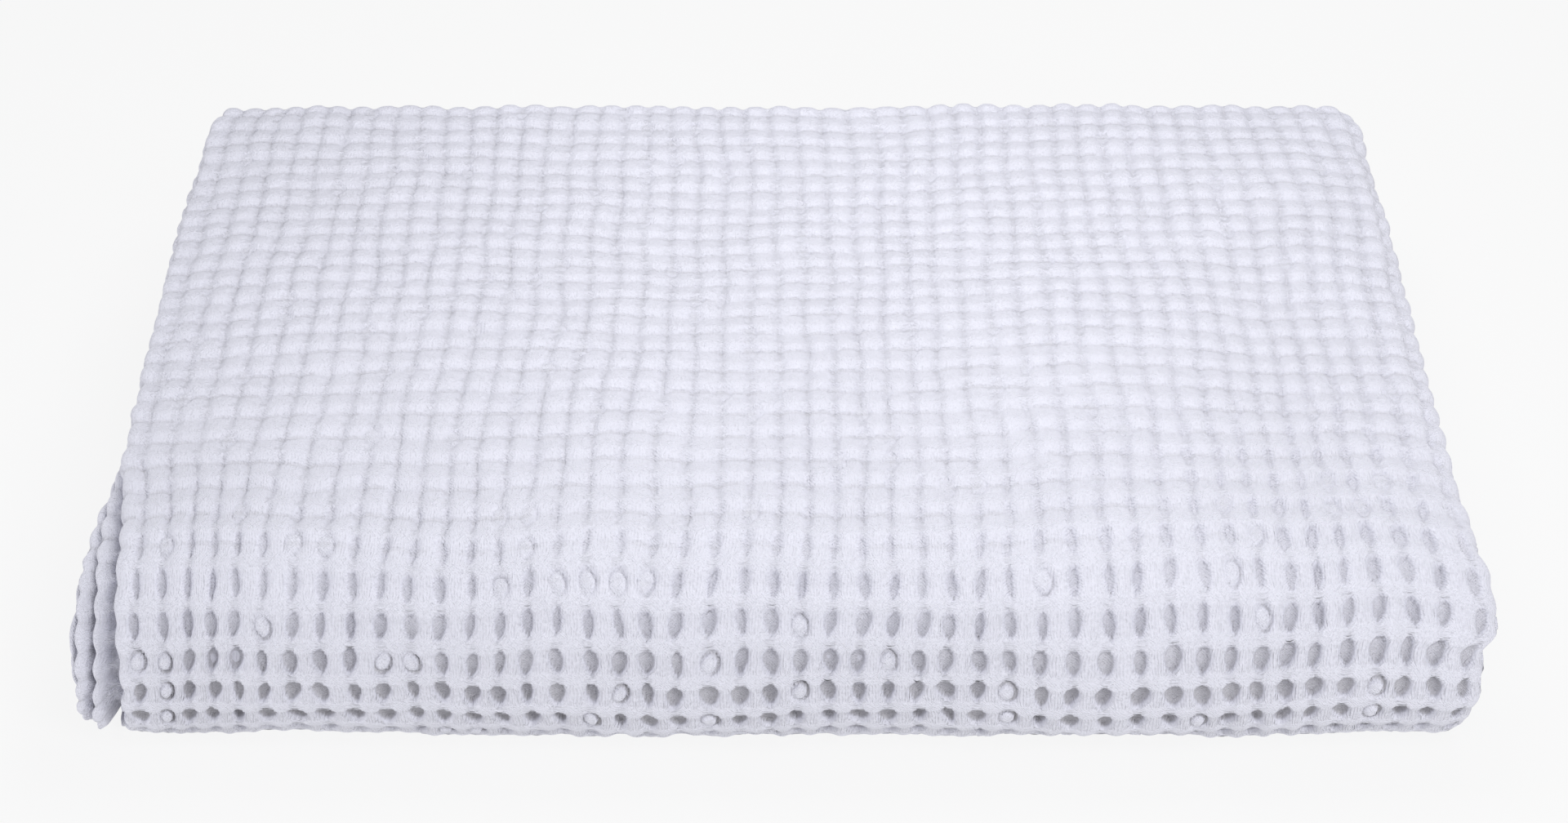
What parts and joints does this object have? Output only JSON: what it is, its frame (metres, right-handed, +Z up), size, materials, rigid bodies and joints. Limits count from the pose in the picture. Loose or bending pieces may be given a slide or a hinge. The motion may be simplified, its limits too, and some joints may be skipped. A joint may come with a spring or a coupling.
{
  "type": "bedspread",
  "caption": "White cotton honeycomb-weave bedspread folded into a flat rectangular stack with a full round fold at the front.",
  "frame": {"origin": "bottom centre of the bounding box, on the surface that the folded stack rests on", "axes": "+X along the long side of the stack to the right seen from the round fold, +Y from the round fold to the back, +Z up"},
  "size_m": [0.5242, 0.4094, 0.0849],
  "materials": {
    "white_cotton": "matt white cotton with a cool cast, honeycomb weave with deep cells and raised float threads"
  },
  "bodies": {
    "root": {"bedspread": "white_cotton"}
  },
  "joints": []
}
